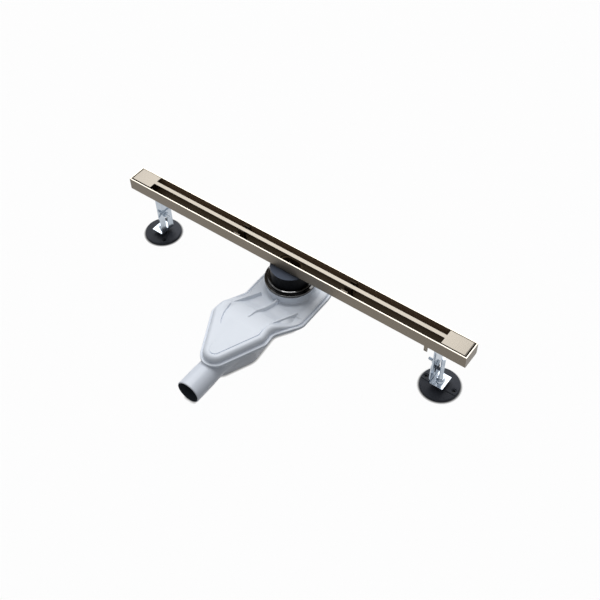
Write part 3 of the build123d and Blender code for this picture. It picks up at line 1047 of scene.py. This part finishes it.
def thread_rows(radius: float, pitch: float, depth: float, start: float, end: float, columns: int) -> Array:
    """Points of a threaded rod about the Z axis.

    The radius falls from the crest by the thread's depth times a triangle wave of height over pitch
    less turn over a full turn. The wave fades out at both ends, where the rod is chamfered.

    Args:
        radius: Crest radius.
        pitch: Rise of one turn.
        depth: Depth of the thread.
        start: Lower end.
        end: Upper end.
        columns: Steps of the turn.

    Returns:
        Rows of points.
    """
    rows = int((end - start) / pitch * 8)
    height = np.linspace(start, end, rows)[:, None]
    turn = np.linspace(0, 2 * np.pi, columns, endpoint=False)[None, :]
    phase = height / pitch - turn / (2 * np.pi)
    wave = np.abs(2 * (phase - np.floor(phase)) - 1)
    from_end = np.minimum(height - start, end - height)
    chamfer = np.clip(depth * 1.4 - from_end, 0.0, None)
    reach = radius - depth * wave - chamfer * (1 - wave)
    return np.stack([reach * np.cos(turn), reach * np.sin(turn), height + 0 * turn], axis=-1)


def hexagon_radius(flats: float, turn: Array) -> Array:
    """Radius of a hexagon at a turn: half the width across flats over the cosine from the next flat."""
    sector = np.pi / 3
    from_flat = (turn + sector / 2) % sector - sector / 2
    return flats / 2 / np.cos(from_flat)


def nut_rows(flats: float, bore: float, low: float, high: float, flange: tuple[float, float], turn: Array) -> Array:
    """Section of a hexagon nut or bolt head, carried round the Z axis.

    The hexagon's corners are cut by a cone of thirty degrees: an edge drops by its radius past the
    chamfer circle times the tangent of thirty degrees.

    Args:
        flats: Width across flats.
        bore: Radius of the bore, or of a small centre flat.
        low: Height of the lower face.
        high: Height of the upper face.
        flange: Radius and height of a flange below the hexagon, zero for none.
        turn: Turn of each column.

    Returns:
        Rows of points, the first and last on the bore.
    """
    corner = hexagon_radius(flats, turn)
    even = np.ones_like(turn)
    circle = 0.475 * flats
    drop = (corner - circle) * math.tan(math.radians(30))
    flange_radius, flange_height = flange
    if flange_radius:
        foot = [
            (even * flange_radius, even * low),
            (even * flange_radius, even * (low + 0.4 * flange_height)),
            (np.minimum(corner + 0.5, flange_radius), even * (low + flange_height)),
            (corner, even * (low + 1.3 * flange_height)),
        ]
    else:
        foot = [(even * circle, even * low), (corner, low + drop)]
    lead = 0.4
    section = [(even * bore, even * (low + lead)), (even * (bore + lead), even * low), *foot]
    section += [(corner, high - drop), (even * circle, even * high)]
    section += [(even * (bore + lead), even * high), (even * bore, even * (high - lead))]
    radius = np.array([reach for reach, level in section])
    level = np.array([level for reach, level in section])
    return np.stack([radius * np.cos(turn), radius * np.sin(turn), level], axis=-1)


def laid_along(points: Array, side: Side, place: tuple[float, float, float]) -> Array:
    """Lay points about the Z axis along X, pointing away from the channel's middle.

    Args:
        points: Points about the Z axis.
        side: Foot that they belong to.
        place: Point that the old origin goes to, for the right foot.

    Returns:
        The points in place.
    """
    x, y, z = place
    sign = side.value
    return np.stack([sign * (points[..., 2] + x), sign * (points[..., 0] + y), points[..., 1] + z], axis=-1)


@dataclass
class FootHardware:
    """Stud, nuts and clamp bolt of one foot, with real threads and chamfered hexagons."""

    side: Side
    stud_pitch: float = 1.25
    stud_depth: float = 0.55
    clamp_pitch: float = 1.0
    clamp_depth: float = 0.45
    nut_flats: float = 13.0
    nut_bore: float = 4.05
    flange: tuple[float, float] = (8.5, 1.6)
    clamp_flats: float = 10.0
    clamp_bore: float = 3.02
    clamp_height: float = 64.0
    head_height: float = 4.0
    columns: int = 72

    def node(self, kind: str) -> str:
        """Name of this foot's node of a kind."""
        return f"{kind}_{self.side.word}"

    def limits(self, kind: str) -> tuple[Array, Array]:
        """Lowest and highest corner of this foot's node of a kind, in millimetres."""
        low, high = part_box(self.node(kind))
        return np.array(low) / MM, np.array(high) / MM

    def upright(self, points: Array, kind: str) -> Array:
        """Move points about the Z axis to the middle of a node.

        Args:
            points: Points about the Z axis.
            kind: Kind of node that they stand for.

        Returns:
            The points in place.
        """
        low, high = self.limits(kind)
        middle = (low + high) / 2
        return points + np.array([middle[0], middle[1], 0.0])

    def build_stud(self) -> bpy.types.Object:
        """Threaded stud, as long as its node."""
        low, high = self.limits("foot_stud")
        radius = (high[0] - low[0]) / 2
        rows = thread_rows(radius, self.stud_pitch, self.stud_depth, low[2], high[2], 40)
        return grid_object(f"threaded_stud_{self.side.word}", self.upright(rows, "foot_stud"), False)

    def build_nut(self, kind: str, flange: tuple[float, float]) -> bpy.types.Object:
        """Nut on the stud.

        Args:
            kind: Kind of node that it stands for.
            flange: Radius and height of its flange, zero for none.

        Returns:
            The new piece.
        """
        low, high = self.limits(kind)
        turn = np.linspace(0, 2 * np.pi, self.columns, endpoint=False)
        rows = nut_rows(self.nut_flats, self.nut_bore, low[2], high[2], flange, turn)
        return grid_object(f"hexagon_{kind}_{self.side.word}", self.upright(rows, kind), True)

    def build_clamp_nut(self) -> bpy.types.Object:
        """Nut on the clamp bolt's tail."""
        low, high = self.limits("clamp_nut")
        reach = np.sort(np.abs([low[0], high[0]]))
        turn = np.linspace(0, 2 * np.pi, self.columns, endpoint=False)
        rows = nut_rows(self.clamp_flats, self.clamp_bore, reach[0], reach[1], (0.0, 0.0), turn + np.pi / 2)
        return grid_object(
            f"hexagon_clamp_nut_{self.side.word}", laid_along(rows, self.side, (0.0, 0.0, self.clamp_height)), True
        )

    def build_clamp_bolt(self) -> bpy.types.Object:
        """Clamp bolt: a threaded shank whose end runs out into a chamfered hexagon head.

        Returns:
            The new piece.
        """
        low, high = self.limits("clamp_bolt")
        reach = np.sort(np.abs([low[0], high[0]]))
        neck = reach[1] - self.head_height
        turn = np.linspace(0, 2 * np.pi, self.columns, endpoint=False)
        shank = thread_rows(self.clamp_bore - 0.02, self.clamp_pitch, self.clamp_depth, reach[0], neck, self.columns)
        head = nut_rows(self.clamp_flats, 0.6, neck, reach[1], (0.0, 0.0), turn)
        rows = np.concatenate([shank, head[1:-1]])
        return grid_object(
            f"hexagon_clamp_bolt_{self.side.word}", laid_along(rows, self.side, (0.0, 0.0, self.clamp_height)), False
        )

    def dress(self) -> list[bpy.types.Object]:
        """Build this foot's hardware and put it in the nodes' places.

        Returns:
            The new pieces.
        """
        return [
            seat(self.build_stud(), self.node("foot_stud"), ZINC),
            seat(self.build_nut("flange_nut", self.flange), self.node("flange_nut"), ZINC),
            seat(self.build_nut("jam_nut", (0.0, 0.0)), self.node("jam_nut"), ZINC),
            seat(self.build_clamp_nut(), self.node("clamp_nut"), ZINC),
            seat(self.build_clamp_bolt(), self.node("clamp_bolt"), ZINC),
        ]


@dataclass
class Studio:
    """Pale floor, soft lights and the camera."""

    floor_colour: str = "#6C7178"
    floor_size: float = 14000.0
    clearness: float = 0.98
    contact_reach: float = 5.0
    trap_shade: float = 1.2
    pad_shade: float = 3.5
    pad_zone: tuple[float, float] = (150.0, 250.0)
    ambient: float = 0.26
    camera_place: tuple[float, float, float] = (772.0, -973.0, 1479.0)
    azimuth: float = 37.66
    elevation: float = 49.79
    roll: float = -1.67
    lens: float = 56.83

    def seen_share(self, tree: bpy.types.NodeTree, strength: float) -> bpy.types.NodeSocket:
        """Share of the plain white that camera, glossy and transmission rays see.

        Args:
            tree: Node tree that gets the nodes.
            strength: Share for those rays; other rays get none.

        Returns:
            The socket with the share.
        """
        rays = add_node(tree, "ShaderNodeLightPath").outputs
        shine = add_node(
            tree,
            "ShaderNodeMath",
            {0: rays["Is Glossy Ray"], 1: rays["Is Transmission Ray"]},
            operation="MAXIMUM",
        )
        seen = add_node(tree, "ShaderNodeMath", {0: rays["Is Camera Ray"], 1: shine.outputs[0]}, operation="MAXIMUM")
        return add_node(tree, "ShaderNodeMath", {0: seen.outputs[0], 1: strength}, operation="MULTIPLY").outputs[0]

    def lay_floor(self) -> None:
        """Lay a level square floor that keeps the object's contact shade on a white ground.

        It lights the object as paper does. To the camera it is clear but for the shade, so that feet
        run out below it still show.
        """
        half = self.floor_size / 2 * MM
        corners = np.array([[-half, -half, 0], [half, -half, 0], [half, half, 0], [-half, half, 0]])
        mesh = bpy.data.meshes.new("floor")
        mesh.from_pydata(corners.tolist(), [], [(0, 1, 2, 3)])
        floor = bpy.data.objects.new("floor", mesh)
        bpy.context.scene.collection.objects.link(floor)
        paper = bpy.data.materials.new("pale studio paper")
        paper.use_nodes = True
        tree = paper.node_tree
        shader = tree.nodes["Principled BSDF"]
        shader.inputs["Base Color"].default_value = linear(self.floor_colour)
        shader.inputs["Roughness"].default_value = 0.9
        shader.inputs["Specular IOR Level"].default_value = 0.1
        contact = add_node(tree, "ShaderNodeAmbientOcclusion", {"Distance": self.contact_reach * MM})
        places = add_node(tree, "ShaderNodeTexCoord")
        parts = add_node(tree, "ShaderNodeSeparateXYZ", {0: places.outputs["Object"]})
        aside = add_node(tree, "ShaderNodeMath", {0: parts.outputs["X"]}, operation="ABSOLUTE")
        start, end = self.pad_zone
        power = add_node(
            tree,
            "ShaderNodeMapRange",
            {0: aside.outputs[0], 1: start * MM, 2: end * MM, 3: self.trap_shade, 4: self.pad_shade},
        )
        shade = add_node(
            tree, "ShaderNodeMath", {0: contact.outputs["AO"], 1: power.outputs[0]}, operation="POWER"
        )
        clear = add_node(tree, "ShaderNodeBsdfTransparent", {"Color": shade.outputs[0]})
        mixed = add_node(
            tree,
            "ShaderNodeMixShader",
            {0: self.seen_share(tree, self.clearness), 1: shader.outputs[0], 2: clear.outputs[0]},
        )
        tree.links.new(mixed.outputs[0], tree.nodes["Material Output"].inputs["Surface"])
        mesh.materials.append(paper)

    def light(self) -> None:
        """Set a white surround and the soft boxes."""
        world = bpy.data.worlds.new("white surround")
        bpy.context.scene.world = world
        world.use_nodes = True
        tree = world.node_tree
        share = self.seen_share(tree, 1.0 - self.ambient)
        strength = add_node(tree, "ShaderNodeMath", {0: share, 1: self.ambient}, operation="ADD")
        tree.links.new(strength.outputs[0], tree.nodes["Background"].inputs["Strength"])
        tree.nodes["Background"].inputs["Color"].default_value = (1.0, 1.0, 1.0, 1.0)
        self.soft_box("rear_box", (-1230.0, 1560.0, 2280.0), (3000.0, 2200.0), 56.0)
        self.soft_box("top_strip", (-201.0, 261.0, 2500.0), (1300.0, 450.0), 18.0)

    def soft_box(
        self, name: str, place: tuple[float, float, float], size: tuple[float, float], power: float
    ) -> None:
        """Hang one soft box that faces the object.

        Args:
            name: Name of the lamp.
            place: Its middle.
            size: Its width and height.
            power: Its power in watts.
        """
        lamp = bpy.data.lights.new(name, "AREA")
        lamp.shape = "RECTANGLE"
        lamp.size = size[0] * MM
        lamp.size_y = size[1] * MM
        lamp.energy = power
        box = bpy.data.objects.new(name, lamp)
        box.location = Vector(place) * MM
        box.rotation_euler = (-Vector(place)).to_track_quat("-Z", "Y").to_euler()
        bpy.context.scene.collection.objects.link(box)

    def set_camera(self) -> None:
        """Stand the camera where the photograph was taken from."""
        azimuth, elevation, roll = (math.radians(a) for a in (self.azimuth, self.elevation, self.roll))
        back = Vector((
            math.sin(azimuth) * math.cos(elevation),
            -math.cos(azimuth) * math.cos(elevation),
            math.sin(elevation),
        ))
        right = Vector((math.cos(azimuth), math.sin(azimuth), 0.0))
        up = back.cross(right)
        level = Matrix((right, up, back)).transposed()
        view = level @ Matrix.Rotation(roll, 3, "Z")
        data = bpy.data.cameras.new("camera")
        data.lens = self.lens
        data.clip_end = 100.0
        camera = bpy.data.objects.new("camera", data)
        camera.matrix_world = Matrix.Translation(Vector(self.camera_place) * MM) @ view.to_4x4()
        bpy.context.scene.collection.objects.link(camera)
        bpy.context.scene.camera = camera

    def set_up(self) -> None:
        """Lay the floor, hang the lights and set the camera and the plain view."""
        self.lay_floor()
        self.light()
        self.set_camera()
        bpy.context.scene.view_settings.view_transform = "Standard"


def eased_pieces() -> list[EasedPiece]:
    """List the pieces whose form the frame already holds.

    Returns:
        The pieces, in the order of assembly.
    """
    pieces = [
        EasedPiece("channel", "folded_channel", TROUGH_STEEL, 0.25),
        SkewedCover("cover", "slotted_cover", STEEL, 0.25),
        EasedPiece("spigot_gasket", "flat_gasket", SEAL_RUBBER, 0.3),
        EasedPiece("spigot", "black_spigot", SPIGOT_BLACK, 0.7),
        EasedPiece("spigot_screws", "pan_head_screws", SHADED_SCREW_ZINC, 0.2),
        EasedPiece("dip_tube", "lift_out_dip_tube", DIP_SHADE_BROWN, 0.4),
        EasedPiece("trap_lower_shell", "trap_lower_moulding", OUTLET_GREY, 0.0),
    ]
    for side in Side:
        word = side.word
        pieces += [
            FoldedSupport(f"cover_support_{word}", f"folded_support_{word}", SUPPORT_STEEL, 0.2),
            EasedPiece(f"hanger_{word}", f"pressed_hanger_{word}", ZINC, 0.4),
            EasedPiece(f"foot_bracket_{word}", f"pressed_bracket_{word}", ZINC, 0.4),
            EasedPiece(f"foot_pad_{word}", f"moulded_pad_{word}", PAD_BLACK, 0.5),
        ]
    return pieces


def main() -> None:
    """Dress every piece of the drain and set up the studio."""
    logging.basicConfig(level=logging.INFO, format="%(name)s: %(message)s")
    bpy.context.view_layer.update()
    for piece in eased_pieces():
        piece.dress()
    UpperShell().dress()
    LipSeal().dress()
    for side in Side:
        FootHardware(side).dress()
    Studio().set_up()


if __name__ == "__main__":
    main()
